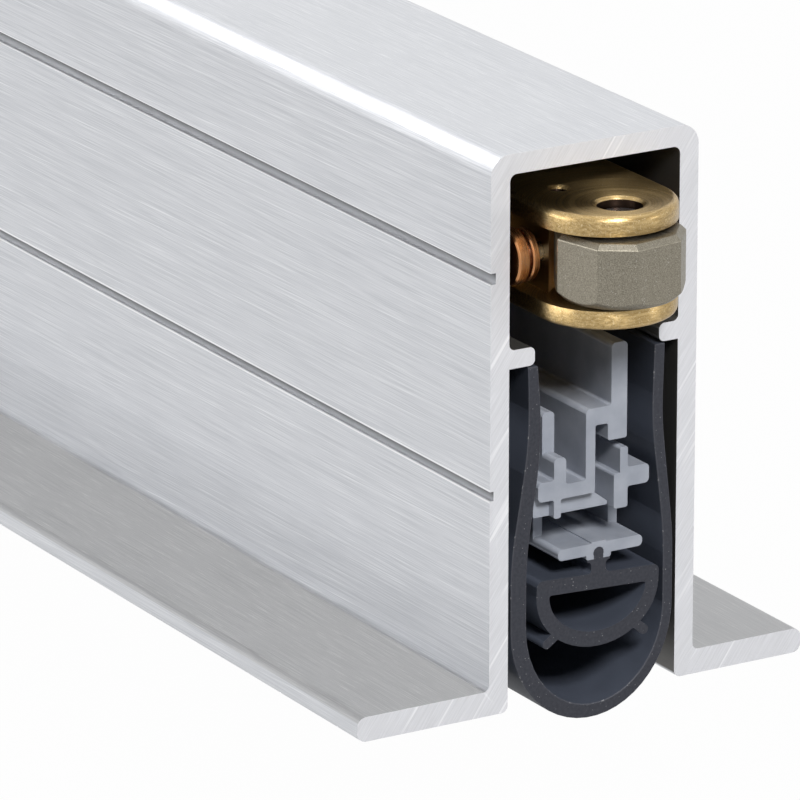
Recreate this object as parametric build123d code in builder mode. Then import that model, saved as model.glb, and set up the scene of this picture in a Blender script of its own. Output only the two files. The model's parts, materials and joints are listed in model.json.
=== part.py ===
from build123d import *
from math import cos, radians, sin
import os

os.makedirs("parts", exist_ok=True)

# Everything runs along X. Z = 0 is the flange tops, which bear on the door's bottom edge.
# The end with the brass head is at +X, and Y = 0 is the middle of the box.

# Housing extrusion
length = 335.0
box_width = 12.5
box_height = 28.85
side_wall = 1.13
top_wall = 1.1
flange_thickness = 1.35
left_flange = 7.9
right_flange = 6.8
chamber_height = 9.4
ledge_thickness = 1.0
slot_width = 7.54
slot_shift = 0.19
top_corner = 1.1
inner_corner = 0.4
ledge_round = 0.32
flange_round = 0.5
fold_round = 0.35
upper_groove_drop = 6.5
lower_groove_drop = 18.2
upper_groove = (0.6, 0.3)
lower_groove = (0.5, 0.22)

# Fixing screws through the flanges
screw_inset = 65.0
screw_reach = 3.6
screw_hole_radius = 1.6
screw_sink_radius = 2.3

# Brass head and its roller
head_reach = 4.7
head_width = 7.6
head_height = 6.05
head_length = 14.0
plate_thickness = 1.05
plate_round = 0.34
tail_length = 4.0
roller_corners = (33.1, 67.9, 95.9, 125.9, 155.9, 188.9, 223.9, 260.9, 308.9, 343.7)
roller_radius = 3.45
roller_proud = 1.1
roller_gap = 0.21
roller_chamfer = 0.28
pocket_gap = 0.2
pin_radius = 1.18
pin_recess = 0.55
pin_sink = 0.17
pin_chamfer = 0.15
lock_pin_radius = 0.4
lock_pin_setback = 0.25
lock_pin_side = -1.25
lock_pin_sink = 0.2
lock_pin_recess = 0.25
lock_pin_round = 0.15
press_gap = 0.02
running_gap = 0.06

# Copper guide buttons at the sides of the head
button_lead = 0.3
button_radius = 1.5
button_thickness = 0.7
button_clearance = 0.3
button_chamfer = 0.1
web_clearance = 0.75
washer_radius = 1.4
washer_thickness = 0.4
washer_gap = 0.22
washer_chamfer = 0.07
rivet_radius = 0.5
collar_radius = 0.85
rivet_bite = 0.4

# Push rod, blocks in the upper chamber and bow springs
rod_radius = 1.5
rod_grip = 3.2
rod_chamfer = 0.3
nut_width = 5.5
nut_thickness = 2.4
block_length = 10.0
block_rise = 2.6
rivet_cover = 0.25
skirt_thickness = 1.0
heel_clearance = 0.08
slide_gap = 0.15
guide_place = 25.0
spring_places = (88.0, 247.0)
spring_span = 70.0
spring_sag = 1.3
strip_width = 6.0
strip_thickness = 0.4
strip_tab = 6.0
spring_rivet_radius = 0.9
rivet_head_radius = 1.6
rivet_head_height = 0.5
rivet_depth = 0.7
grub_radius = 1.0
grub_socket = 0.5
grub_socket_depth = 1.2
grub_place = 2.0
grub_setback = 0.65

# Saddles between the springs and the carrier rail
saddle_length = 12.0
saddle_gap = 0.77
saddle_plate = 0.9
saddle_cheek = 0.9
saddle_grip = 2.4

# Carrier rail: blade, hook, leg and left cross. From here on, heights are from the ledges' undersides
plastic_round = 0.13
tip_round = 0.26
blade_left = 1.08
blade_thickness = 0.96
blade_top = 0.4
hook_top = -2.95
hook_thickness = 0.95
hook_round = 0.3
lip_left = 0.89
lip_thickness = 0.95
leg_left = -0.45
leg_thickness = 0.57
web_top = -6.8
web_thickness = 0.75
left_rib_gap = 0.7
left_rib_thickness = 0.73
left_rib_top = -5.3
left_rib_tall = -3.15
left_rib_setback = 1.2
left_tail_thickness = 0.42
left_tail_bottom = -8.59
foot_bottom = -8.53
foot_toe = 0.2
foot_setback = 0.5
foot_clearance = 0.1

# Clip rail: right cross, hooked under the blade
clip_left = 1.65
clip_thickness = 0.47
clip_top = -5.35
clip_setback = 2.0
clip_foot_left = 1.28
clip_foot_thickness = 0.78
clip_foot_top = -6.75
clip_foot_bottom = -8.67
arm_top = -6.5
arm_thickness = 1.05
left_arm_gap = 0.08
right_arm_gap = 0.45

# Seal holder
seal_centre = 0.38
holder_left_gap = 1.9
holder_right_gap = 1.32
holder_top = -10.35
holder_thickness = 0.62
holder_ridge = 0.08
boss_width = 1.5
boss_depth = 0.25
post_thickness = 0.55
post_length = 6.0
post_pitch = 22.0
post_setback = 2.5

# Inner seal: stem and leaning D
stem_width = 0.88
stem_flare = 0.25
neck_width = 0.54
bead_radius = 0.3
bead_depth = 0.55
stem_gap = 0.02
stem_height = 0.8
bar_thickness = 0.86
seal_gap = 0.445
seal_wall = 0.78
seal_floor = 0.84
seal_drop = 3.16
seal_lean = -2.4
seal_round = 0.35
seal_hole_round = 0.15
nib_reach = 0.65
nib_drop = 0.5
nib_thickness = 0.52
nib_angle = 48

# Outer seal loop
left_bulb_wall = 0.95
left_waist_wall = 0.8
left_top_wall = 0.6
right_bulb_wall = 0.58
right_waist_wall = 0.64
right_top_wall = 0.6
loop_floor = 0.75
loop_clearance = 0.17
left_waist_inset = 1.08
right_waist_inset = 0.72
neck_flare = 0.1
waist_bottom = -4.15
bulb_top = -10.55
bulb_middle = -14.35
bulb_bottom = -19.95
bulb_round = 18.0
loop_top_gap = 0.1

# Places worked out from the sizes above
x_end = length / 2
inner_width = box_width - 2 * side_wall
ceiling = box_height - top_wall
ledge_top = ceiling - chamber_height
ledge_bottom = ledge_top - ledge_thickness
rod_z = ledge_top + chamber_height / 2
head_bottom = rod_z - head_height / 2
head_front = x_end + head_reach
head_back = head_front - head_length
nose_x = head_front - head_width / 2
slot_bottom = head_bottom + plate_thickness
slot_height = head_height - 2 * plate_thickness
roller_x = head_front + roller_proud - roller_radius
roller_height = slot_height - 2 * roller_gap
strip_seat = rod_z - rod_radius - rivet_cover - rivet_depth
saddle_top = strip_seat - strip_thickness - spring_sag
slider_ends = [x_end - place + spring_span / 2 for place in spring_places]
anchor_ends = [x_end - place - spring_span / 2 for place in spring_places]


def nearest(section, *points):
    """The corners of a sketch that lie nearest to the given points."""
    return ShapeList(section.vertices().sort_by_distance((y, z, 0))[0] for y, z in points)


def soften(section, radius, *points):
    """Round the corners of a sketch at the given points."""
    fillet(nearest(section, *points), radius)


def bar(left, low, right, high, mode=Mode.ADD):
    """A rectangle in a section, given by its four edges."""
    with Locations(((left + right) / 2, (low + high) / 2)):
        Rectangle(right - left, high - low, mode=mode)


def save(builder, name):
    builder.part.label = name
    export_step(builder.part, f"parts/{name}.step")


# Housing: one extrusion with two ledges, two flanges and two scribed grooves on its left face
box_half = box_width / 2
inner_half = inner_width / 2
slot_half = slot_width / 2
with BuildPart() as housing:
    with BuildSketch(Plane.YZ.offset(-x_end)) as section:
        bar(-box_half, -flange_thickness, box_half, box_height)
        bar(-box_half - left_flange, -flange_thickness, -box_half, 0)
        bar(box_half, -flange_thickness, box_half + right_flange, 0)
        bar(-inner_half, -flange_thickness, inner_half, ceiling, Mode.SUBTRACT)
        bar(-inner_half, ledge_bottom, slot_shift - slot_half, ledge_top)
        bar(slot_shift + slot_half, ledge_bottom, inner_half, ledge_top)
        for drop, (width, depth) in ((upper_groove_drop, upper_groove), (lower_groove_drop, lower_groove)):
            with Locations((-box_half, box_height - drop)):
                Rectangle(depth, width, align=(Align.MIN, Align.CENTER), mode=Mode.SUBTRACT)
        soften(section, top_corner, (-box_half, box_height), (box_half, box_height))
        soften(section, inner_corner, (-inner_half, ceiling), (inner_half, ceiling))
        soften(section, inner_corner, (-inner_half, -flange_thickness), (inner_half, -flange_thickness))
        soften(section, fold_round, (-box_half, 0), (box_half, 0))
        for tip in (-box_half - left_flange, box_half + right_flange):
            soften(section, flange_round, (tip, 0), (tip, -flange_thickness))
        for side in (-1, 1):
            nose = side * slot_half + slot_shift
            nose_round = min(ledge_round, 0.45 * (inner_half - side * nose))
            soften(section, nose_round, (nose, ledge_top), (nose, ledge_bottom), (side * inner_half, ledge_top))
    extrude(amount=length)
    screw_x = x_end - screw_inset
    screw_y = box_half + screw_reach
    for x in (-screw_x, screw_x):
        with Locations(*[Plane((x, y, -flange_thickness), z_dir=(0, 0, -1)) for y in (-screw_y, screw_y)]):
            CounterSinkHole(screw_hole_radius, screw_sink_radius)
save(housing, "housing")

# Brass head: a round-nosed fork whose web carries the roller's pocket, the rod's thread and the guide buttons
button_face = inner_half - button_clearance
washer_face = button_face - button_thickness - washer_gap
web_half = washer_face - washer_thickness - web_clearance
button_x = roller_x - roller_radius - pocket_gap + button_lead
lock_pin_place = (roller_x - roller_radius - pocket_gap - lock_pin_setback, lock_pin_side)
with BuildPart() as actuator_head:
    with BuildSketch(Plane.XY.offset(head_bottom)):
        with Locations((nose_x, 0)):
            Circle(head_width / 2)
            Rectangle(nose_x - head_back, head_width, align=(Align.MAX, Align.CENTER))
    extrude(amount=head_height)
    fillet(actuator_head.faces().filter_by(Axis.Z).edges(), plate_round)
    with BuildSketch(Plane.XY.offset(slot_bottom)):
        with Locations((head_front + roller_proud, 0)):
            Rectangle(head_length - tail_length + roller_proud, head_width + 2, align=(Align.MAX, Align.CENTER))
        with Locations((nose_x, 0)):
            Rectangle(head_length, 2 * web_half, align=(Align.MAX, Align.CENTER), mode=Mode.SUBTRACT)
        with Locations((roller_x, 0)):
            Circle(roller_radius + pocket_gap)
            Rectangle(head_width, 2 * web_half, align=(Align.MIN, Align.CENTER))
    extrude(amount=slot_height, mode=Mode.SUBTRACT)
    with Locations((roller_x, 0, head_bottom + head_height)):
        CounterSinkHole(pin_radius + press_gap, pin_radius + press_gap + pin_sink, counter_sink_angle=90)
    with Locations((*lock_pin_place, head_bottom + head_height)):
        lock_bore = lock_pin_radius + press_gap
        CounterSinkHole(lock_bore, lock_bore + lock_pin_sink, plate_thickness, counter_sink_angle=90)
    with Locations(Plane((head_back, 0, rod_z), z_dir=(-1, 0, 0))):
        Hole(rod_radius + press_gap, depth=rod_grip + rod_chamfer)
    for side in (-1, 1):
        with Locations(Plane((button_x, side * web_half, rod_z), z_dir=(0, side, 0))):
            Hole(rivet_radius + press_gap, depth=rivet_bite)
save(actuator_head, "actuator_head")

# Roller with ten flats, chamfered along its top corners and turned to a cone below
with BuildPart() as contact_roller:
    with BuildSketch(Plane.XY.offset(slot_bottom + roller_gap)):
        with Locations((roller_x, 0)):
            turns = [radians(corner) for corner in roller_corners]
            Polygon(*[(roller_radius * cos(turn), roller_radius * sin(turn)) for turn in turns], align=None)
            Circle(pin_radius + running_gap, mode=Mode.SUBTRACT)
    extrude(amount=roller_height)
    rim = contact_roller.faces().sort_by(Axis.Z)[-1].outer_wire().edges()
    chamfer(rim, roller_chamfer)
    with BuildSketch(Plane.XZ) as cone:
        with BuildLine():
            flats = [b - a for a, b in zip(roller_corners, (*roller_corners[1:], roller_corners[0] + 360))]
            inside = roller_x + roller_radius * cos(radians(max(flats) / 2)) - roller_chamfer / 2
            outside = roller_x + roller_radius + roller_chamfer
            low = slot_bottom + roller_gap
            Polyline((inside, low), (outside, low), (outside, low + outside - inside), close=True)
        make_face()
    revolve(axis=Axis((roller_x, 0, 0), (0, 0, 1)), mode=Mode.SUBTRACT)
save(contact_roller, "contact_roller")

# Roller pin with a slightly domed end, set below the top plate
with BuildPart() as roller_pin:
    with BuildSketch(Plane.XY.offset(head_bottom + press_gap)):
        with Locations((roller_x, 0)):
            Circle(pin_radius)
    extrude(amount=head_height - pin_recess - press_gap)
    chamfer(roller_pin.edges().filter_by(GeomType.CIRCLE), pin_chamfer)
save(roller_pin, "roller_pin")

# Lock pin in the small countersunk hole
with BuildPart() as lock_pin:
    with BuildSketch(Plane.XY.offset(slot_bottom + slot_height)):
        with Locations(lock_pin_place):
            Circle(lock_pin_radius)
    extrude(amount=plate_thickness - lock_pin_recess)
    fillet(lock_pin.edges().filter_by(GeomType.CIRCLE).sort_by(Axis.Z)[-1], lock_pin_round)
save(lock_pin, "lock_pin")

# Guide buttons: a copper button and a thin washer held by a collared rivet on each side of the web
for side, hand in ((-1, "left"), (1, "right")):
    outward = Plane((button_x, 0, rod_z), x_dir=(1, 0, 0), z_dir=(0, side, 0))
    with BuildPart() as guide_button:
        with BuildSketch(outward.offset(button_face - button_thickness)):
            Circle(button_radius)
        extrude(amount=button_thickness)
        chamfer(guide_button.edges().filter_by(GeomType.CIRCLE), button_chamfer)
        with BuildSketch(outward.offset(button_face - button_thickness)):
            Circle(rivet_radius + press_gap)
        extrude(amount=button_thickness / 2, mode=Mode.SUBTRACT)
    save(guide_button, f"guide_button_{hand}")

    with BuildPart() as guide_washer:
        with BuildSketch(outward.offset(washer_face - washer_thickness)):
            Circle(washer_radius)
            Circle(rivet_radius + press_gap, mode=Mode.SUBTRACT)
        extrude(amount=washer_thickness)
        rims = guide_washer.edges().filter_by(GeomType.CIRCLE)
        chamfer(rims.filter_by(lambda rim: rim.radius > collar_radius), washer_chamfer)
    save(guide_washer, f"guide_washer_{hand}")

    with BuildPart() as guide_rivet:
        with BuildSketch(outward.offset(web_half - rivet_bite)):
            Circle(rivet_radius)
        extrude(amount=button_face - button_thickness / 2 - press_gap - web_half + rivet_bite)
        with BuildSketch(outward.offset(washer_face)):
            Circle(collar_radius)
        extrude(amount=washer_gap)
    save(guide_rivet, f"guide_rivet_{hand}")

# Push rod from the head to the rear slider, with a lock nut against the head
rod_back = slider_ends[1]
with BuildPart() as push_rod:
    with BuildSketch(Plane.YZ.offset(rod_back)):
        with Locations((0, rod_z)):
            Circle(rod_radius)
    extrude(amount=head_back + rod_grip - rod_back)
    chamfer(push_rod.edges().filter_by(GeomType.CIRCLE), rod_chamfer)
save(push_rod, "push_rod")

with BuildPart() as lock_nut:
    with BuildSketch(Plane.YZ.offset(head_back - nut_thickness)):
        with Locations((0, rod_z)):
            RegularPolygon(nut_width / 2, 6, major_radius=False)
            Circle(rod_radius + press_gap, mode=Mode.SUBTRACT)
    extrude(amount=nut_thickness)
save(lock_nut, "lock_nut")


def chamber_block(x_back, side_gap, foot_gap, bore, rivet_x=None, grubs=False):
    """A block for the upper chamber: a body on two skirts that stand on the ledges, bored for the rod."""
    half = inner_half - side_gap
    with BuildPart() as block:
        with BuildSketch(Plane.YZ.offset(x_back)) as section:
            with Locations((0, rod_z + block_rise)):
                Rectangle(2 * half, rod_z + block_rise - ledge_top - foot_gap, align=(Align.CENTER, Align.MAX))
            with Locations((0, strip_seat)):
                channel = 2 * (half - skirt_thickness)
                Rectangle(channel, strip_seat - ledge_top, align=(Align.CENTER, Align.MAX), mode=Mode.SUBTRACT)
            heels = [(side * half, ledge_top + foot_gap) for side in (-1, 1)]
            chamfer(nearest(section, *heels), ledge_round + heel_clearance)
            with Locations((0, rod_z)):
                Circle(rod_radius + bore, mode=Mode.SUBTRACT)
        extrude(amount=block_length)
        if rivet_x is not None:
            with Locations((rivet_x, 0, strip_seat)):
                Cylinder(spring_rivet_radius + press_gap, 2 * rivet_depth, mode=Mode.SUBTRACT)
        if grubs:
            with Locations(*[(x_back + grub_place, side * grub_y, rod_z) for side in (-1, 1)]):
                Cylinder(grub_radius + press_gap, box_height, mode=Mode.SUBTRACT)
    return block


grub_y = (inner_half + rod_radius) / 2
guide_back = x_end - guide_place - block_length / 2
front_guide = chamber_block(guide_back, press_gap, 0, running_gap, grubs=True)
save(front_guide, "front_guide")

anchor_backs = [guide_back]
for slider_end, anchor_end, hand in zip(slider_ends, anchor_ends, ("front", "rear")):
    slider = chamber_block(slider_end, slide_gap, slide_gap, press_gap, slider_end + strip_tab / 2)
    save(slider, f"{hand}_slider")
    anchor_back = anchor_end - block_length
    anchor_backs.append(anchor_back)
    rivet_x = anchor_end - strip_tab / 2
    anchor = chamber_block(anchor_back, press_gap, 0, running_gap, rivet_x, grubs=True)
    save(anchor, f"{hand}_anchor")

# Grub screws jack the fixed blocks apart between the ledges and the ceiling
with BuildPart() as anchor_screws:
    for back in anchor_backs:
        with BuildSketch(Plane.XY.offset(ceiling)):
            with Locations(*[(back + grub_place, side * grub_y) for side in (-1, 1)]):
                Circle(grub_radius)
        extrude(amount=strip_seat + grub_setback - ceiling)
        with BuildSketch(Plane.XY.offset(strip_seat + grub_setback)):
            with Locations(*[(back + grub_place, side * grub_y) for side in (-1, 1)]):
                RegularPolygon(grub_socket, 6)
        extrude(amount=grub_socket_depth, mode=Mode.SUBTRACT)
save(anchor_screws, "anchor_screws")

# Bow springs: steel strips that arch down between a slider and its anchor
for slider_end, anchor_end, hand in zip(slider_ends, anchor_ends, ("front", "rear")):
    middle = (slider_end + anchor_end) / 2
    under = strip_seat - strip_thickness
    with BuildPart() as bow_spring:
        with BuildSketch(Plane.XZ.offset(-strip_width / 2)):
            with BuildLine():
                Polyline((slider_end, strip_seat), (slider_end + strip_tab, strip_seat),
                         (slider_end + strip_tab, under), (slider_end, under))
                ThreePointArc((slider_end, under), (middle, under - spring_sag), (anchor_end, under))
                Polyline((anchor_end, under), (anchor_end - strip_tab, under),
                         (anchor_end - strip_tab, strip_seat), (anchor_end, strip_seat))
                crown = (middle, strip_seat - spring_sag)
                ThreePointArc((anchor_end, strip_seat), crown, (slider_end, strip_seat))
            make_face()
        extrude(amount=strip_width)
        rivet_places = (slider_end + strip_tab / 2, middle, anchor_end - strip_tab / 2)
        with Locations(*[(x, 0, under) for x in rivet_places]):
            Cylinder(spring_rivet_radius + press_gap, box_height, mode=Mode.SUBTRACT)
    save(bow_spring, f"{hand}_bow_spring")


def rivets(places, head_z, tip_z):
    """Flat-headed rivets at the given places along the strips, from the head's inner face to the tip."""
    upward = 1 if tip_z > head_z else -1
    with BuildPart() as group:
        with BuildSketch(Plane.XY.offset(head_z)):
            with Locations(*[(x, 0) for x in places]):
                Circle(rivet_head_radius)
        extrude(amount=-upward * rivet_head_height)
        with BuildSketch(Plane.XY.offset(head_z)):
            with Locations(*[(x, 0) for x in places]):
                Circle(spring_rivet_radius)
        extrude(amount=tip_z - head_z)
    return group


under_strip = strip_seat - strip_thickness
slider_rivets = rivets([x + strip_tab / 2 for x in slider_ends], under_strip, strip_seat + rivet_depth)
save(slider_rivets, "slider_rivets")
anchor_rivets = rivets([x - strip_tab / 2 for x in anchor_ends], under_strip, strip_seat + rivet_depth)
save(anchor_rivets, "anchor_rivets")
over_bow = strip_seat - spring_sag + press_gap
saddle_places = [(a + b) / 2 for a, b in zip(slider_ends, anchor_ends)]
saddle_rivets = rivets(saddle_places, over_bow, saddle_top - rivet_depth)
save(saddle_rivets, "saddle_rivets")

# Saddles stand on the carrier's hook and grip its blade
rails = Plane((-x_end, 0, ledge_bottom), x_dir=(0, 1, 0), z_dir=(1, 0, 0))
blade_right = blade_left + blade_thickness
saddle_half = slot_width / 2 - saddle_gap
saddle_high = saddle_top - ledge_bottom
for place, hand in zip(saddle_places, ("front", "rear")):
    with BuildPart() as saddle:
        with BuildSketch(rails.offset(x_end + place - saddle_length / 2)) as section:
            bar(-saddle_half, saddle_high - saddle_plate, saddle_half, saddle_high)
            bar(leg_left, hook_top + press_gap, blade_left, saddle_high)
            bar(blade_left, blade_top - saddle_grip, blade_right + saddle_cheek, saddle_high)
            bar(blade_left - press_gap, hook_top, blade_right + press_gap, blade_top + press_gap, Mode.SUBTRACT)
        extrude(amount=saddle_length)
        with Locations((place, 0, saddle_top)):
            Hole(spring_rivet_radius + press_gap, depth=rivet_depth)
    save(saddle, f"{hand}_saddle")

# The loop's sides run straight from its waist to its bulb, and the arms reach out to them there
bulb_half = inner_half - loop_clearance
loop_walls = {
    -1: (left_bulb_wall, left_waist_wall, left_top_wall),
    1: (right_bulb_wall, right_waist_wall, right_top_wall),
}
waist_halves = {-1: bulb_half - left_waist_inset, 1: bulb_half - right_waist_inset}
loop_top = -loop_top_gap


def loop_side(side, hollow):
    """Corners of one side of the loop's outer face, or its inner face where hollow is 1, from the bulb up."""
    bulb_wall, waist_wall, top_wall = [hollow * wall for wall in loop_walls[side]]
    bulb = side * (bulb_half - bulb_wall)
    waist = side * (waist_halves[side] - waist_wall)
    top = side * (waist_halves[side] + neck_flare - top_wall)
    return [(bulb, bulb_middle), (bulb, bulb_top), (waist, waist_bottom), (top, loop_top)]


def loop_inside(side, z):
    """How far the loop's inner face stands from the middle on one side, between its bulb and waist."""
    (bulb, low), (waist, high) = loop_side(side, 1)[1:3]
    return abs(waist + (bulb - waist) * (high - z) / (high - low))


arm_bottom = arm_top - arm_thickness
left_arm = loop_inside(-1, arm_top) - left_arm_gap
right_arm = loop_inside(1, arm_top) - right_arm_gap
left_rib_left = left_rib_gap - loop_inside(-1, waist_bottom)
left_rib_right = left_rib_left + left_rib_thickness
leg_right = leg_left + leg_thickness
lip_bottom = hook_top - hook_thickness - lip_thickness
web_bottom = web_top - web_thickness
foot_right = clip_foot_left - foot_clearance

# Carrier rail: at its front end the left rib is stepped and the foot is set back
with BuildPart() as carrier_rail:
    with BuildSketch(rails) as section:
        bar(blade_left, lip_bottom, blade_right, blade_top)
        bar(lip_left, lip_bottom, blade_right, hook_top - hook_thickness)
        bar(leg_left, hook_top - hook_thickness, blade_right, hook_top)
        bar(leg_left, web_bottom, leg_right, hook_top)
        bar(left_rib_right, web_bottom, leg_left, web_top)
        bar(left_rib_left, web_bottom, left_rib_right, left_rib_top)
        bar(left_rib_left, left_tail_bottom, left_rib_left + left_tail_thickness, web_bottom)
        bar(-left_arm, arm_bottom, left_rib_left, arm_top)
        tips = [(blade_left, blade_top), (blade_right, blade_top), (leg_left, hook_top)]
        tips += [(-left_arm, arm_top), (-left_arm, arm_bottom)]
        tips += [(left_rib_left, left_rib_top), (left_rib_right, left_rib_top)]
        fillet(section.vertices() - nearest(section, *tips), plastic_round)
        soften(section, tip_round, *tips)
    extrude(amount=length)
    with BuildSketch(rails) as foot:
        with BuildLine():
            Polyline((-left_arm, foot_bottom), (foot_right, foot_bottom), (foot_right, foot_bottom + foot_toe),
                     (leg_right - plastic_round, web_bottom + plastic_round),
                     (-left_arm, web_bottom + plastic_round), close=True)
        make_face()
        soften(foot, foot_toe / 2, (-left_arm, foot_bottom), (foot_right, foot_bottom))
    extrude(amount=length - foot_setback)
    with BuildSketch(rails) as rib:
        bar(left_rib_left, web_top, left_rib_right, left_rib_tall)
        soften(rib, tip_round, (left_rib_left, left_rib_tall), (left_rib_right, left_rib_tall))
    extrude(amount=length - left_rib_setback)
save(carrier_rail, "carrier_rail")

# Clip rail: a cross whose rib rises to the lip behind its front end
with BuildPart() as clip_rail:
    clip_right = clip_left + clip_thickness
    with BuildSketch(rails) as section:
        bar(clip_left, clip_foot_bottom, clip_right, clip_top)
        bar(clip_left, arm_bottom, right_arm, arm_top)
        bar(clip_foot_left, clip_foot_bottom, clip_foot_left + clip_foot_thickness, clip_foot_top)
        arm_tips = [(right_arm, arm_top), (right_arm, arm_bottom)]
        corners = section.vertices() - nearest(section, *arm_tips, (clip_left, clip_foot_top))
        fillet(corners, plastic_round)
        soften(section, tip_round, *arm_tips)
    extrude(amount=length)
    with BuildSketch(rails):
        bar(clip_left, arm_top, clip_right, lip_bottom)
    extrude(amount=length - clip_setback)
save(clip_rail, "clip_rail")

# Seal holder: a plate with a keyhole for the seal's bead, hung by two rows of posts
holder_left = holder_left_gap - loop_inside(-1, bulb_top)
holder_right = loop_inside(1, bulb_top) - holder_right_gap
holder_bottom = holder_top - holder_thickness
bead_z = holder_top - bead_depth
boss_bottom = holder_bottom - boss_depth
post_places = []
place = x_end - post_setback - post_length
while place > -x_end:
    post_places.append(place)
    place -= post_pitch
with BuildPart() as seal_holder:
    with BuildSketch(rails) as section:
        bar(holder_left, holder_bottom, holder_right, holder_top)
        bar(seal_centre - boss_width / 2, boss_bottom, seal_centre + boss_width / 2, holder_top)
        ridge_half = stem_width / 2
        bar(seal_centre - ridge_half, holder_bottom, seal_centre + ridge_half, holder_top + holder_ridge)
        ends = [(y, z) for y in (holder_left, holder_right) for z in (holder_bottom, holder_top)]
        soften(section, tip_round, *ends)
        boss_half = boss_width / 2
        soften(section, plastic_round, *[(seal_centre + side * boss_half, boss_bottom) for side in (-1, 1)])
        with Locations((seal_centre, bead_z)):
            Circle(bead_radius + stem_gap, mode=Mode.SUBTRACT)
        neck_half = neck_width / 2 + stem_gap
        bar(seal_centre - neck_half, boss_bottom, seal_centre + neck_half, bead_z, Mode.SUBTRACT)
    extrude(amount=length)
    for place in post_places:
        with BuildSketch(rails.offset(x_end + place)):
            root = holder_bottom + holder_thickness / 2
            bar(holder_left, root, holder_left + post_thickness, left_tail_bottom)
            bar(holder_right - post_thickness, root, holder_right, arm_bottom)
        extrude(amount=post_length)
save(seal_holder, "seal_holder")

# Inner seal: a bead and stem over a leaning D with two side nibs
seal_half = (loop_inside(-1, bulb_top) + loop_inside(1, bulb_top)) / 2 - seal_gap
bar_top = boss_bottom - stem_height
lean = radians(seal_lean)
leaning = Plane((-x_end, seal_centre, ledge_bottom + bar_top), x_dir=(0, cos(lean), sin(lean)), z_dir=(1, 0, 0))
with BuildPart() as inner_seal:
    with BuildSketch(leaning) as section:
        with BuildLine():
            Polyline((-seal_half, -bar_thickness), (-seal_half, 0), (seal_half, 0), (seal_half, -bar_thickness))
            EllipticalCenterArc((0, -bar_thickness), seal_half, seal_drop, 180, arc_size=180)
        make_face()
        soften(section, seal_round, (-seal_half, 0), (seal_half, 0))
        for side in (-1, 1):
            nib_y = side * (seal_half - nib_thickness / 2) * cos(radians(nib_angle))
            nib_z = -bar_thickness - (seal_drop - nib_thickness / 2) * sin(radians(nib_angle))
            with Locations((nib_y + side * nib_reach / 2, nib_z - nib_drop / 2)):
                SlotCenterPoint((0, 0), (side * nib_reach / 2, -nib_drop / 2), nib_thickness)
        hole_half = seal_half - seal_wall
        with BuildLine():
            Line((-hole_half, -bar_thickness), (hole_half, -bar_thickness))
            EllipticalCenterArc((0, -bar_thickness), hole_half, seal_drop - seal_floor, 180, arc_size=180)
        make_face(mode=Mode.SUBTRACT)
        soften(section, seal_hole_round, (-hole_half, -bar_thickness), (hole_half, -bar_thickness))
    extrude(amount=length)
    with BuildSketch(rails) as stem:
        stem_half = stem_width / 2
        foot_half = stem_half + stem_flare
        bar_middle = bar_top - bar_thickness / 2
        bar(seal_centre - stem_half, bar_middle, seal_centre + stem_half, boss_bottom)
        for low, high in ((boss_bottom - stem_flare / 2, boss_bottom), (bar_middle, bar_top)):
            bar(seal_centre - foot_half, low, seal_centre + foot_half, high)
        for side in (-1, 1):
            face = seal_centre + side * stem_half
            soften(stem, stem_flare - press_gap, (face, boss_bottom - stem_flare / 2), (face, bar_top))
        with Locations((seal_centre, bead_z)):
            Circle(bead_radius)
        bar(seal_centre - neck_width / 2, boss_bottom, seal_centre + neck_width / 2, bead_z)
    extrude(amount=length)
save(inner_seal, "inner_seal")

# Outer seal: a loop with a thicker left wall round the waist and the bulb, open at the top under the ledges
with BuildPart() as outer_seal:
    with BuildSketch(rails):
        for hollow, mode in ((0, Mode.ADD), (1, Mode.SUBTRACT)):
            left = loop_side(-1, hollow)
            right = loop_side(1, hollow)
            left_bulb = left[0][0]
            right_bulb = right[0][0]
            middle = ((left_bulb + right_bulb) / 2, bulb_middle)
            depth = bulb_middle - bulb_bottom - hollow * loop_floor
            with BuildLine():
                FilletPolyline(*left, radius=bulb_round)
                Line(left[-1], right[-1])
                FilletPolyline(*reversed(right), radius=bulb_round)
                EllipticalCenterArc(middle, (right_bulb - left_bulb) / 2, depth, 180, arc_size=180)
            make_face(mode=mode)
    extrude(amount=length)
save(outer_seal, "outer_seal")
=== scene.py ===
import json
from math import radians

import bpy
from mathutils import Matrix, Vector


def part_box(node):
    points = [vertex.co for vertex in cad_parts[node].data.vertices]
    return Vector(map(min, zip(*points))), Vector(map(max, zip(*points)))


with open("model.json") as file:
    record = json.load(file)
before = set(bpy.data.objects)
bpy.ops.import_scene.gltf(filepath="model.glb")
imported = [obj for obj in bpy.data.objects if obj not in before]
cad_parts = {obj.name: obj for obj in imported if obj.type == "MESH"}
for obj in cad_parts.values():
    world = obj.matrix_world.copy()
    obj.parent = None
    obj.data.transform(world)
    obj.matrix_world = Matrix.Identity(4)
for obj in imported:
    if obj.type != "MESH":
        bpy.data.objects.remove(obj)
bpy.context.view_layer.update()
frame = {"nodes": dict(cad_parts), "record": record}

nodes = frame["nodes"]
mm = 0.001

# places taken from the frame
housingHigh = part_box("housing")[1]
rollerLow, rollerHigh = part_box("contact_roller")
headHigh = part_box("actuator_head")[1]
lockLow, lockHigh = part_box("lock_pin")
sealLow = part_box("outer_seal")[0]
rollerAxis = Vector(((rollerLow.x + rollerHigh.x) / 2, 0, (rollerLow.z + rollerHigh.z) / 2))
housingSide = 6.25 * mm      # half the width of the box, without its flanges
bumpDistance = 0.02 * mm
print("frame loaded:", len(nodes), "nodes")


# small tools for building shader trees
def newMaterial(name):
    material = bpy.data.materials.new(name)
    material.use_nodes = True
    tree = material.node_tree
    return material, tree, tree.nodes["Principled BSDF"]


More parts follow.
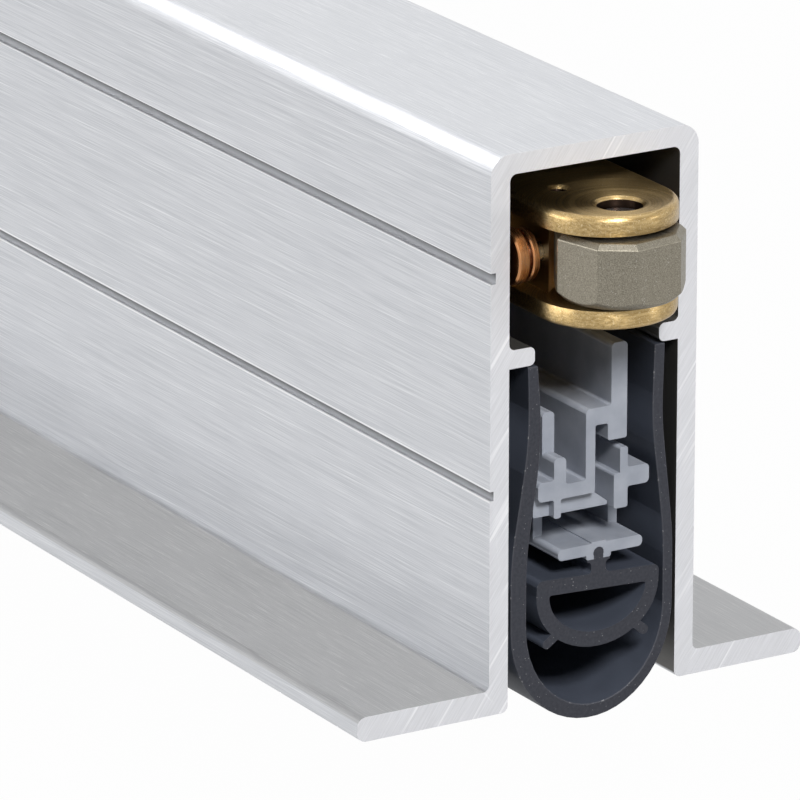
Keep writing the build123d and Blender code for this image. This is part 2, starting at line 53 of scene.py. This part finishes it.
def addNode(tree, kind, inputs=None, **settings):
    node = tree.nodes.new(kind)
    for key, value in settings.items():
        setattr(node, key, value)
    for key, value in (inputs or {}).items():
        socket = node.inputs[key]
        if isinstance(value, bpy.types.NodeSocket):
            tree.links.new(value, socket)
        else:
            socket.default_value = value
    return node


def objectPlace(tree):
    return addNode(tree, "ShaderNodeTexCoord").outputs["Object"]


def math(tree, operation, first, second=0.0, clamp=False):
    node = addNode(tree, "ShaderNodeMath", {0: first, 1: second}, operation=operation, use_clamp=clamp)
    return node.outputs[0]


def vectorMath(tree, operation, first, second=None):
    sockets = {0: first} if second is None else {0: first, 1: second}
    node = addNode(tree, "ShaderNodeVectorMath", sockets, operation=operation)
    return node.outputs["Value"] if operation in ("LENGTH", "DISTANCE") else node.outputs[0]


def separate(tree, vector):
    return addNode(tree, "ShaderNodeSeparateXYZ", {0: vector}).outputs


def combine(tree, x=0.0, y=0.0, z=0.0):
    return addNode(tree, "ShaderNodeCombineXYZ", {0: x, 1: y, 2: z}).outputs[0]


def turnNormal(tree, normal, start, end):
    node = addNode(tree, "ShaderNodeVectorTransform", {0: normal}, vector_type="NORMAL",
                   convert_from=start, convert_to=end)
    return node.outputs[0]


def mixValue(tree, factor, first, second):
    return addNode(tree, "ShaderNodeMix", {0: factor, 2: first, 3: second}).outputs[0]


def mixColour(tree, factor, first, second, blend="MIX"):
    sockets = {0: factor, 6: first, 7: second}
    return addNode(tree, "ShaderNodeMix", sockets, data_type="RGBA", blend_type=blend).outputs[2]


def remap(tree, value, low, high, toLow=0.0, toHigh=1.0, smooth=False):
    kind = "SMOOTHSTEP" if smooth else "LINEAR"
    sockets = {0: value, 1: low, 2: high, 3: toLow, 4: toHigh}
    return addNode(tree, "ShaderNodeMapRange", sockets, interpolation_type=kind).outputs[0]


def noise(tree, place, scale, detail, roughness=0.5):
    sockets = {"Vector": place, "Scale": scale, "Detail": detail, "Roughness": roughness}
    return addNode(tree, "ShaderNodeTexNoise", sockets).outputs[0]


def newGroup(name, inputs, outputs):
    tree = bpy.data.node_groups.new(name, "ShaderNodeTree")
    kinds = {"float": "NodeSocketFloat", "vector": "NodeSocketVector", "colour": "NodeSocketColor"}
    for socketName, kind, value in inputs:
        socket = tree.interface.new_socket(socketName, in_out="INPUT", socket_type=kinds[kind])
        if value is not None:
            socket.default_value = value
    for socketName, kind in outputs:
        tree.interface.new_socket(socketName, in_out="OUTPUT", socket_type=kinds[kind])
    return tree, tree.nodes.new("NodeGroupInput").outputs, tree.nodes.new("NodeGroupOutput").inputs


def fillGroup(tree, group, inputs):
    return addNode(tree, "ShaderNodeGroup", inputs, node_tree=group).outputs


def finishNormal(tree, shader, height, strength, normal=None):
    sockets = {"Strength": strength, "Distance": bumpDistance, "Height": height}
    bump = addNode(tree, "ShaderNodeBump", sockets)
    if normal is not None:
        tree.links.new(normal, bump.inputs["Normal"])
    tree.links.new(bump.outputs[0], shader.inputs["Normal"])


# long fine scratches: noise stretched along one direction, as brushing, drawing or turning leaves it
def buildGrain():
    tree, given, out = newGroup(
        "stretchedGrain",
        [("Vector", "vector", None), ("Stretch", "vector", (1, 1, 1)), ("Scale", "float", 1.0)],
        [("Fine", "float"), ("Broad", "float")],
    )
    stretched = vectorMath(tree, "MULTIPLY", given["Vector"], given["Stretch"])
    fineScale = math(tree, "MULTIPLY", given["Scale"], 4.3)
    tree.links.new(noise(tree, stretched, fineScale, 3.0, 0.65), out["Fine"])
    tree.links.new(noise(tree, stretched, given["Scale"], 2.0), out["Broad"])
    return tree


# which way a surface faces: ends are faces across the length, rims are the narrow bevels round them
def buildFacing():
    tree, given, out = newGroup(
        "endFacing",
        [("Normal", "vector", None)],
        [("End", "float"), ("Rim", "float")],
    )
    turned = turnNormal(tree, given["Normal"], "WORLD", "OBJECT")
    along = math(tree, "ABSOLUTE", separate(tree, turned)[0])
    end = remap(tree, along, 0.80, 0.95, smooth=True)
    rise = remap(tree, along, 0.12, 0.35, smooth=True)
    fall = remap(tree, along, 0.85, 0.97, 1.0, 0.0, smooth=True)
    tree.links.new(end, out["End"])
    tree.links.new(math(tree, "MULTIPLY", rise, fall), out["Rim"])
    return tree


# tiny bright specks, as cut rubber shows; on tumbled metal they are painted glints
def buildSpecks():
    tree, given, out = newGroup(
        "brightSpecks",
        [("Vector", "vector", None), ("Scale", "float", 4000.0), ("Amount", "float", 0.1)],
        [("Mask", "float")],
    )
    cells = addNode(tree, "ShaderNodeTexVoronoi", {"Vector": given["Vector"], "Scale": given["Scale"]})
    patches = noise(tree, given["Vector"], 900.0, 2.0)
    size = math(tree, "MULTIPLY", given["Amount"], patches)
    mask = remap(tree, cells.outputs["Distance"], 0.0, size, 1.0, 0.0)
    picked = addNode(tree, "ShaderNodeSeparateColor", {0: cells.outputs["Color"]})
    chosen = math(tree, "GREATER_THAN", picked.outputs[0], 0.72)
    tree.links.new(math(tree, "MULTIPLY", mask, chosen, clamp=True), out["Mask"])
    return tree


# broken bright glints along a worn or sawn edge
def buildGlints():
    tree, given, out = newGroup(
        "edgeGlints",
        [("Vector", "vector", None), ("Rim", "float", 0.0), ("Scale", "float", 5000.0),
         ("Cover", "float", 0.5)],
        [("Mask", "float")],
    )
    dots = noise(tree, given["Vector"], given["Scale"], 2.0, 0.7)
    low = math(tree, "SUBTRACT", 0.72, math(tree, "MULTIPLY", given["Cover"], 0.4))
    mask = remap(tree, dots, low, math(tree, "ADD", low, 0.07))
    tree.links.new(math(tree, "MULTIPLY", mask, given["Rim"], clamp=True), out["Mask"])
    return tree


grainGroup = buildGrain()
facingGroup = buildFacing()
specksGroup = buildSpecks()
glintsGroup = buildGlints()


# the masks for ends and rims go by the true normal, because the bevels harden the shading ones
def facingOf(tree):
    flat = addNode(tree, "ShaderNodeNewGeometry").outputs["True Normal"]
    return fillGroup(tree, facingGroup, {"Normal": flat})


# satin anodised aluminium: brushed along its length, sawn aslant across its ends, with painted shade inside,
# in its grooves and on its flanges
aluminiumLook = {
    "side": (0.54, 0.555, 0.585, 1),
    "streak": (0.70, 0.71, 0.735, 1),
    "dull": (0.50, 0.52, 0.55, 1),
    "scored": (0.86, 0.87, 0.89, 1),
    "cut": (0.66, 0.665, 0.69, 1),
    "cutStreak": (0.74, 0.745, 0.775, 1),
    "scratch": (0.88, 0.88, 0.90, 1),
    "glint": (1.0, 1.0, 1.0, 1),
    # painted shade on the box's inner faces
    "inside": (0.16, 0.157, 0.15, 1),
    # painted shade in the grooves, darkest near their upper wall
    "grime": (0.08, 0.083, 0.087, 1),
    "grooveFloor": (0.30, 0.305, 0.32, 1),
    # painted shade on the flanges
    "flange": (0.90, 0.89, 0.87, 1),      # multiplies the brushed colour
    "roughness": 0.38,
    "cutRoughness": 0.62,
    "metallic": 0.75,
    "cutMetallic": 0.35,
    "bump": 0.22,
    "brush": (12, 1900, 1900),
    "brushScale": 3.0,
    "scratches": (6, 1000, 1000),
    "scratchScale": 4.0,
    "lean": 1.4,                          # degrees that the brushing leans
    "sawTurn": -55,
    "saw": (300, 90, 3000),
    "glints": {"Scale": 4200.0, "Cover": 0.55},
    "grooves": (6.5 * mm, 18.2 * mm),     # how far the two grooves lie below the top
    "grooveHalf": 0.33 * mm,
    "grooveShade": (-0.16 * mm, 0.24 * mm),
    "grooveSkin": 0.03 * mm,
    "grooveDeep": 0.10 * mm,
    # where the painted highlight lines run along the grooves' lips
    "lipPlace": 0.31 * mm,
    "lipHalf": 0.05 * mm,
    "lipShare": 0.6,
    "innerHalf": 5.12 * mm,
    "ceiling": 27.75 * mm,
    "flangeRoot": 0.3 * mm,
    "topCorner": 1.1 * mm,                # radius of the box's two upper corners
}


# The grooves get painted shade inside and a painted highlight along the lip on either side. The distance
# across has no sign, so the lip highlights are painted on the right face too, where there is no groove.
def paintGrooves(tree, side, across, height):
    look = aluminiumLook
    depth = remap(tree, across, housingSide - look["grooveSkin"], housingSide - look["grooveDeep"])
    for drop in look["grooves"]:
        rise = math(tree, "SUBTRACT", height, housingHigh.z - drop)
        away = math(tree, "ABSOLUTE", rise)
        near = math(tree, "LESS_THAN", away, look["grooveHalf"])
        # painted shade, darker towards the groove's upper wall
        tone = mixColour(tree, remap(tree, rise, *look["grooveShade"]), look["grooveFloor"], look["grime"])
        side = mixColour(tree, math(tree, "MULTIPLY", near, depth), side, tone)
        # painted highlight line along each lip
        lip = math(tree, "COMPARE", away, look["lipPlace"])
        lip.node.inputs[2].default_value = look["lipHalf"]
        onTop = math(tree, "MULTIPLY", math(tree, "SUBTRACT", 1.0, depth), look["lipShare"])
        side = mixColour(tree, math(tree, "MULTIPLY", lip, onTop), side, look["glint"])
    return side


# the exact outward normal of the box's skin, so that its rounded corners shade evenly along the length
def skinNormal(tree, parts, across, facing, plain):
    corner = aluminiumLook["topCorner"]
    past = math(tree, "MAXIMUM", math(tree, "SUBTRACT", across, housingSide - corner), 0.0)
    above = math(tree, "MAXIMUM", math(tree, "SUBTRACT", parts[2], housingHigh.z - corner), 0.0)
    outward = combine(tree, 0.0, math(tree, "MULTIPLY", past, math(tree, "SIGN", parts[1])), above)
    reach = vectorMath(tree, "LENGTH", outward)
    skin = math(tree, "GREATER_THAN", reach, corner - 0.02 * mm)
    along = math(tree, "SUBTRACT", 1.0, math(tree, "MAXIMUM", facing["Rim"], facing["End"]))
    sockets = {0: math(tree, "MULTIPLY", skin, along), 4: plain, 5: outward}
    smooth = addNode(tree, "ShaderNodeMix", sockets, data_type="VECTOR").outputs[1]
    return vectorMath(tree, "NORMALIZE", turnNormal(tree, smooth, "OBJECT", "WORLD"))


def anodisedAluminium():
    look = aluminiumLook
    material, tree, shader = newMaterial("anodisedAluminium")
    place = addNode(tree, "ShaderNodeTexCoord").outputs
    spot = place["Object"]
    facing = facingOf(tree)
    leant = addNode(tree, "ShaderNodeMapping", {"Vector": spot, "Rotation": (0, radians(look["lean"]), 0)})
    turned = addNode(tree, "ShaderNodeMapping", {"Vector": spot, "Rotation": (radians(look["sawTurn"]), 0, 0)})
    brushed = {"Vector": spot, "Stretch": look["brush"], "Scale": look["brushScale"]}
    brush = fillGroup(tree, grainGroup, brushed)
    scored = {"Vector": leant.outputs[0], "Stretch": look["scratches"], "Scale": look["scratchScale"]}
    scratch = fillGroup(tree, grainGroup, scored)
    saw = fillGroup(tree, grainGroup, {"Vector": turned.outputs[0], "Stretch": look["saw"], "Scale": 1.0})
    parts = separate(tree, spot)
    across = math(tree, "ABSOLUTE", parts[1])

    side = mixColour(tree, remap(tree, brush["Fine"], 0.36, 0.64), look["side"], look["streak"])
    side = mixColour(tree, remap(tree, brush["Broad"], 0.55, 0.75, 0.0, 0.22), side, look["dull"])
    side = mixColour(tree, remap(tree, scratch["Fine"], 0.58, 0.68, 0.0, 0.6), side, look["scored"])
    side = paintGrooves(tree, side, across, parts[2])
    # painted shade on the inner faces, below the ceiling and within the walls
    under = remap(tree, parts[2], look["ceiling"] + 0.5 * mm, look["ceiling"] + 0.3 * mm)
    within = remap(tree, across, look["innerHalf"] + 0.05 * mm, look["innerHalf"] + 0.01 * mm)
    side = mixColour(tree, math(tree, "MULTIPLY", under, within), side, look["inside"])
    # painted shade on the flanges
    flange = math(tree, "MULTIPLY", math(tree, "GREATER_THAN", across, housingSide + look["flangeRoot"]),
                  math(tree, "GREATER_THAN", parts[2], -look["flangeRoot"]))
    side = mixColour(tree, flange, side, look["flange"], "MULTIPLY")

    cut = mixColour(tree, remap(tree, saw["Fine"], 0.35, 0.65), look["cut"], look["cutStreak"])
    cut = mixColour(tree, remap(tree, saw["Broad"], 0.62, 0.70, 0.0, 0.8), cut, look["scratch"])
    colour = mixColour(tree, facing["End"], side, cut)
    colour = mixColour(tree, math(tree, "MULTIPLY", facing["Rim"], 0.35), colour, look["glint"])
    glints = fillGroup(tree, glintsGroup, {"Vector": spot, "Rim": facing["Rim"], **look["glints"]})
    colour = mixColour(tree, glints["Mask"], colour, look["glint"])
    tree.links.new(colour, shader.inputs["Base Color"])

    rough = remap(tree, brush["Fine"], 0.25, 0.75, look["roughness"] - 0.06, look["roughness"] + 0.08)
    cutRough = remap(tree, saw["Broad"], 0.25, 0.75, look["cutRoughness"] - 0.08,
                     look["cutRoughness"] + 0.08)
    tree.links.new(mixValue(tree, facing["End"], rough, cutRough), shader.inputs["Roughness"])
    height = mixValue(tree, facing["End"], brush["Fine"], saw["Broad"])
    normal = skinNormal(tree, parts, across, facing, place["Normal"])
    finishNormal(tree, shader, height, look["bump"], normal)
    metallic = remap(tree, facing["End"], 0.0, 1.0, look["metallic"], look["cutMetallic"])
    tree.links.new(metallic, shader.inputs["Metallic"])
    return material


# satin turned brass: faint rings round the roller's pin, a fine grain over them, painted light on the web
# between the plates and painted shade in the holes
brassLook = {
    "colour": (0.36, 0.245, 0.10, 1),
    "light": (0.56, 0.405, 0.19, 1),
    "shade": (0.24, 0.15, 0.055, 1),
    # painted light on the web between the plates
    "web": (0.50, 0.35, 0.17, 1),
    # painted shade inside the pin holes
    "hole": (0.035, 0.022, 0.016, 1),
    "edge": (0.80, 0.68, 0.45, 1),
    "plateGap": 1.95 * mm,                # half the height between the two plates
    "holeDepth": 0.16 * mm,               # below the top plate, where the holes turn dark
    "pinHole": 1.23 * mm,
    "smallHole": 0.44 * mm,
    "rings": 12000.0,
    "grain": 15000.0,
    "tone": 380.0,
    "roughness": 0.36,
    "anisotropy": 0.65,
    "bump": 0.22,
}


def turnedBrass():
    look = brassLook
    material, tree, shader = newMaterial("turnedBrass")
    spot = objectPlace(tree)
    parts = separate(tree, vectorMath(tree, "SUBTRACT", spot, rollerAxis))
    flat = combine(tree, parts[0], parts[1])
    radius = vectorMath(tree, "LENGTH", flat)
    turning = combine(tree, math(tree, "MULTIPLY", parts[1], -1.0), parts[0])
    tree.links.new(vectorMath(tree, "NORMALIZE", turning), shader.inputs["Tangent"])
    shader.inputs["Anisotropic"].default_value = look["anisotropy"]
    shader.inputs["Anisotropic Rotation"].default_value = 0.25

    ringPlace = combine(tree, radius, math(tree, "MULTIPLY", parts[2], 0.6))
    rings = noise(tree, ringPlace, look["rings"], 2.0, 0.7)
    grain = noise(tree, spot, look["grain"], 2.0, 0.7)
    tone = noise(tree, spot, look["tone"], 3.0)
    colour = mixColour(tree, remap(tree, rings, 0.36, 0.64), look["colour"], look["light"])
    colour = mixColour(tree, remap(tree, tone, 0.45, 0.75, 0.0, 0.20), colour, look["shade"])
    colour = mixColour(tree, remap(tree, grain, 0.58, 0.66, 0.0, 0.6), colour, look["edge"])
    middle = math(tree, "ABSOLUTE", parts[2])
    # painted light on the web between the plates
    colour = mixColour(tree, math(tree, "LESS_THAN", middle, look["plateGap"]), colour, look["web"])
    sunk = math(tree, "LESS_THAN", middle, headHigh.z - rollerAxis.z - look["holeDepth"])
    lockPlace = ((lockLow.x + lockHigh.x) / 2 - rollerAxis.x, (lockLow.y + lockHigh.y) / 2, 0)
    lockRadius = vectorMath(tree, "DISTANCE", flat, lockPlace)
    # painted shade inside the two holes, below the top plate
    holes = math(tree, "MAXIMUM", math(tree, "LESS_THAN", radius, look["pinHole"]),
                 math(tree, "LESS_THAN", lockRadius, look["smallHole"]))
    colour = mixColour(tree, math(tree, "MULTIPLY", sunk, holes), colour, look["hole"])
    tree.links.new(colour, shader.inputs["Base Color"])

    rough = remap(tree, rings, 0.3, 0.7, look["roughness"] - 0.06, look["roughness"] + 0.08)
    tree.links.new(rough, shader.inputs["Roughness"])
    finishNormal(tree, shader, math(tree, "ADD", rings, grain), look["bump"])
    shader.inputs["Metallic"].default_value = 1.0
    return material


# tumbled, turned or drawn metals: one grain and a few bright specks painted as glints
metalSpecks = {"colour": (0.95, 0.94, 0.92, 1), "share": 0.45, "spread": {"Scale": 9000.0, "Amount": 0.5}}
nickelLook = {"name": "tumbledNickel", "colour": (0.165, 0.149, 0.115, 1),
              "light": (0.300, 0.276, 0.224, 1), "roughness": 0.45, "stretch": (1400, 1400, 1400),
              "bump": 0.22}
copperLook = {"name": "turnedCopper", "colour": (0.42, 0.18, 0.07, 1), "light": (0.66, 0.33, 0.15, 1),
              "roughness": 0.28, "stretch": (60, 2400, 60), "bump": 0.12}
steelLook = {"name": "drawnSteel", "colour": (0.30, 0.30, 0.31, 1), "light": (0.45, 0.45, 0.46, 1),
             "roughness": 0.30, "stretch": (60, 900, 900), "bump": 0.3}
springLook = {"name": "springStrip", "colour": (0.13, 0.14, 0.17, 1), "light": (0.24, 0.25, 0.28, 1),
              "roughness": 0.32, "stretch": (30, 900, 900), "bump": 0.3}


def grainyMetal(look):
    material, tree, shader = newMaterial(look["name"])
    spot = objectPlace(tree)
    grain = fillGroup(tree, grainGroup, {"Vector": spot, "Stretch": look["stretch"], "Scale": 3.0})
    specks = fillGroup(tree, specksGroup, {"Vector": spot, **metalSpecks["spread"]})
    shade = mixColour(tree, remap(tree, grain["Fine"], 0.38, 0.62), look["colour"], look["light"])
    # painted glints: near-white specks
    pitted = math(tree, "MULTIPLY", specks["Mask"], metalSpecks["share"])
    shade = mixColour(tree, pitted, shade, metalSpecks["colour"])
    tree.links.new(shade, shader.inputs["Base Color"])
    rough = remap(tree, grain["Broad"], 0.3, 0.7, look["roughness"] - 0.07, look["roughness"] + 0.07)
    tree.links.new(rough, shader.inputs["Roughness"])
    finishNormal(tree, shader, grain["Fine"], look["bump"])
    shader.inputs["Metallic"].default_value = 1.0
    return material


# moulded or extruded plastic: faint lines along its length, painted highlights and glints on its waxy edges,
# dust on the cut
plasticFinish = {
    "lines": {"Stretch": (15, 500, 500), "Scale": 2.0},
    "cloud": 700.0,
    "specks": {"Scale": 4600.0, "Amount": 0.20},
    "glints": {"Scale": 2600.0, "Cover": 0.35},
    "bump": 0.12,
    "specular": 0.35,
    "scatter": 0.08,
    "scatterReach": (0.0008, 0.0009, 0.001),
}
greyLook = {"name": "greyPlastic", "colour": (0.33, 0.355, 0.41, 1), "light": (0.41, 0.435, 0.49, 1),
            "rim": (0.66, 0.70, 0.76, 1), "dust": (0.85, 0.87, 0.90, 1), "roughness": 0.36}
acetalLook = {"name": "whiteAcetal", "colour": (0.70, 0.69, 0.65, 1), "light": (0.78, 0.77, 0.73, 1),
              "rim": (0.86, 0.86, 0.84, 1), "dust": (0.90, 0.90, 0.88, 1), "roughness": 0.36}


def mouldedPlastic(look):
    finish = plasticFinish
    material, tree, shader = newMaterial(look["name"])
    spot = objectPlace(tree)
    facing = facingOf(tree)
    lines = fillGroup(tree, grainGroup, {"Vector": spot, **finish["lines"]})
    cloud = noise(tree, spot, finish["cloud"], 3.0)
    specks = fillGroup(tree, specksGroup, {"Vector": spot, **finish["specks"]})
    glints = fillGroup(tree, glintsGroup, {"Vector": spot, "Rim": facing["Rim"], **finish["glints"]})
    dusted = math(tree, "MULTIPLY", facing["End"], specks["Mask"])
    shade = mixColour(tree, remap(tree, cloud, 0.35, 0.7), look["colour"], look["light"])
    # painted highlight along the rims
    shade = mixColour(tree, math(tree, "MULTIPLY", facing["Rim"], 0.35), shade, look["rim"])
    # painted glints along the rims
    shade = mixColour(tree, math(tree, "MULTIPLY", glints["Mask"], 0.6), shade, look["dust"])
    shade = mixColour(tree, dusted, shade, look["dust"])
    tree.links.new(shade, shader.inputs["Base Color"])
    rough = remap(tree, lines["Broad"], 0.3, 0.7, look["roughness"] - 0.06, look["roughness"] + 0.08)
    tree.links.new(rough, shader.inputs["Roughness"])
    finishNormal(tree, shader, lines["Fine"], finish["bump"])
    shader.inputs["Specular IOR Level"].default_value = finish["specular"]
    shader.inputs["Subsurface Weight"].default_value = finish["scatter"]
    shader.inputs["Subsurface Radius"].default_value = finish["scatterReach"]
    return material


# extruded rubber: blue-black along its length, darker and speckled where it is cut, with painted highlights
# and glints on its edges
rubberLook = {
    "side": (0.052, 0.060, 0.080, 1),
    "sideLight": (0.068, 0.078, 0.103, 1),
    "cut": (0.028, 0.030, 0.039, 1),
    "cutLight": (0.042, 0.044, 0.055, 1),
    "rim": (0.12, 0.12, 0.135, 1),
    "speck": (0.42, 0.42, 0.43, 1),
    "pores": 6000.0,
    "cloud": 260.0,
    "specks": {"Scale": 5200.0, "Amount": 0.30},
    "glints": {"Scale": 3600.0, "Cover": 0.25},
    "roughness": 0.40,
    "cutRoughness": 0.62,
    "bump": 0.2,
    "specular": 0.3,
}


def cutRubber():
    look = rubberLook
    material, tree, shader = newMaterial("cutRubber")
    spot = objectPlace(tree)
    facing = facingOf(tree)
    pores = noise(tree, spot, look["pores"], 3.0)
    cloud = noise(tree, spot, look["cloud"], 2.0)
    specks = fillGroup(tree, specksGroup, {"Vector": spot, **look["specks"]})
    glints = fillGroup(tree, glintsGroup, {"Vector": spot, "Rim": facing["Rim"], **look["glints"]})
    side = mixColour(tree, remap(tree, cloud, 0.35, 0.7), look["side"], look["sideLight"])
    cut = mixColour(tree, remap(tree, pores, 0.35, 0.7), look["cut"], look["cutLight"])
    cut = mixColour(tree, specks["Mask"], cut, look["speck"])
    colour = mixColour(tree, facing["End"], side, cut)
    # painted highlight along the rims, then painted glints on them
    colour = mixColour(tree, math(tree, "MULTIPLY", facing["Rim"], 0.5), colour, look["rim"])
    colour = mixColour(tree, math(tree, "MULTIPLY", glints["Mask"], 0.8), colour, look["speck"])
    tree.links.new(colour, shader.inputs["Base Color"])
    rough = mixValue(tree, facing["End"], look["roughness"], look["cutRoughness"])
    tree.links.new(rough, shader.inputs["Roughness"])
    finishNormal(tree, shader, pores, look["bump"])
    shader.inputs["Specular IOR Level"].default_value = look["specular"]
    return material


materials = {
    "anodised_aluminium": anodisedAluminium(),
    "brass": turnedBrass(),
    "nickel": grainyMetal(nickelLook),
    "copper": grainyMetal(copperLook),
    "steel": grainyMetal(steelLook),
    "spring_steel": grainyMetal(springLook),
    "acetal": mouldedPlastic(acetalLook),
    "grey_plastic": mouldedPlastic(greyLook),
    "dark_rubber": cutRubber(),
}
print("materials made:", len(materials))

# how wide the worn or moulded edge is on the pieces of each material that has one
edgeWidths = {
    "anodised_aluminium": 0.07 * mm,
    "brass": 0.06 * mm,
    "nickel": 0.05 * mm,
    "grey_plastic": 0.06 * mm,
    "acetal": 0.08 * mm,
    "dark_rubber": 0.06 * mm,
}


def softenEdges(piece, width):
    weld = piece.modifiers.new("joinSeams", "WELD")
    weld.merge_threshold = 0.0004 * mm
    bevel = piece.modifiers.new("softEdges", "BEVEL")
    bevel.width = width
    bevel.segments = 2
    bevel.limit_method = "ANGLE"
    bevel.angle_limit = radians(32)
    bevel.harden_normals = True
    bevel.use_clamp_overlap = True


def dressNodes():
    slots = {part["node"]: part["material_slot"] for part in frame["record"]["subparts"]}
    for name, piece in nodes.items():
        slot = slots[name]
        piece.data.materials.clear()
        piece.data.materials.append(materials[slot])
        if slot in edgeWidths:
            softenEdges(piece, edgeWidths[slot])
    print("nodes dressed:", len(nodes))


dressNodes()

# the photo's camera
cameraView = {
    "place": (0.49872, -0.20823, 0.14380),
    "right": (0.510312, 0.859989, 0.000420),
    "up": (-0.269484, 0.159446, 0.949713),
    "back": (0.816676, -0.484763, 0.313121),
    "lens": 359.158,
    "sensor": 36,
    "nearest": 0.01,
    "farthest": 50,
}


def placeCamera():
    data = bpy.data.cameras.new("photoCamera")
    camera = bpy.data.objects.new("photoCamera", data)
    bpy.context.scene.collection.objects.link(camera)
    turn = Matrix((cameraView["right"], cameraView["up"], cameraView["back"])).transposed()
    camera.matrix_world = Matrix.Translation(cameraView["place"]) @ turn.to_4x4()
    data.sensor_width = cameraView["sensor"]
    data.lens = cameraView["lens"]
    data.clip_start = cameraView["nearest"]
    data.clip_end = cameraView["farthest"]
    bpy.context.scene.camera = camera


placeCamera()

stageLook = {
    "floorDrop": 10.4 * mm,      # the gap under the raised seal, which drops 10 mm
    "floorSize": 8.0,
    "floorColour": (0.22, 0.22, 0.22, 1),
    "floorRoughness": 0.9,
    "white": (1, 1, 1, 1),
    "worldLevel": 0.03,
    "seenGlow": 0.985,           # how much of the floor's white is its own, where the camera sees it
    "mirroredGlow": 0.80,        # and where metal mirrors it
}


def buildStage():
    height = sealLow.z - stageLook["floorDrop"]
    bpy.ops.mesh.primitive_plane_add(size=stageLook["floorSize"], location=(0, 0, height))
    floor = bpy.context.object
    floor.name = "studioFloor"
    material, tree, shader = newMaterial("paleFloor")
    shader.inputs["Base Color"].default_value = stageLook["floorColour"]
    shader.inputs["Roughness"].default_value = stageLook["floorRoughness"]
    path = addNode(tree, "ShaderNodeLightPath").outputs
    seen = math(tree, "MULTIPLY", path["Is Camera Ray"], stageLook["seenGlow"])
    mirrored = math(tree, "MAXIMUM", path["Is Glossy Ray"], path["Is Transmission Ray"])
    mirrored = math(tree, "MULTIPLY", mirrored, stageLook["mirroredGlow"])
    glow = addNode(tree, "ShaderNodeEmission", {"Color": stageLook["white"], "Strength": 1.0})
    sockets = {0: math(tree, "MAXIMUM", seen, mirrored), 1: shader.outputs[0], 2: glow.outputs[0]}
    mixed = addNode(tree, "ShaderNodeMixShader", sockets)
    tree.links.new(mixed.outputs[0], tree.nodes["Material Output"].inputs[0])
    floor.data.materials.append(material)

    world = bpy.data.worlds.new("studioWorld")
    bpy.context.scene.world = world
    world.use_nodes = True
    tree = world.node_tree
    backing = tree.nodes["Background"]
    path = addNode(tree, "ShaderNodeLightPath").outputs
    mirrored = math(tree, "MAXIMUM", path["Is Glossy Ray"], path["Is Transmission Ray"])
    seen = math(tree, "MAXIMUM", path["Is Camera Ray"], mirrored)
    tree.links.new(mixValue(tree, seen, stageLook["worldLevel"], 1.0), backing.inputs["Strength"])
    backing.inputs["Color"].default_value = stageLook["white"]


# soft lamps: the key stands in front of the open end and above it, one behind runs along the upper left edge
lampTarget = Vector((housingHigh.x, 0, 12 * mm))
lamps = {
    "keySoftbox": {"place": (0.906, -0.157, 0.668), "size": 0.26, "power": 9.2},
    "edgeSoftbox": {"place": (-0.65, -0.31, 0.50), "size": 0.16, "power": 4.5},
    "leftSoftbox": {"place": (-0.05, -0.85, 0.18), "size": 0.60, "power": 4.3},
    "topSoftbox": {"place": (0.10, 0.10, 1.05), "size": 0.80, "power": 1.2},
    "rightSoftbox": {"place": (0.75, 0.65, 0.10), "size": 0.24, "power": 0.7},
}


def hangLamps():
    for name, lamp in lamps.items():
        data = bpy.data.lights.new(name, "AREA")
        data.size = lamp["size"]
        data.energy = lamp["power"]
        light = bpy.data.objects.new(name, data)
        bpy.context.scene.collection.objects.link(light)
        light.location = lamp["place"]
        light.rotation_euler = (lampTarget - light.location).to_track_quat("-Z", "Y").to_euler()


buildStage()
hangLamps()
bpy.context.scene.view_settings.view_transform = "Standard"
print("stage and lamps ready")
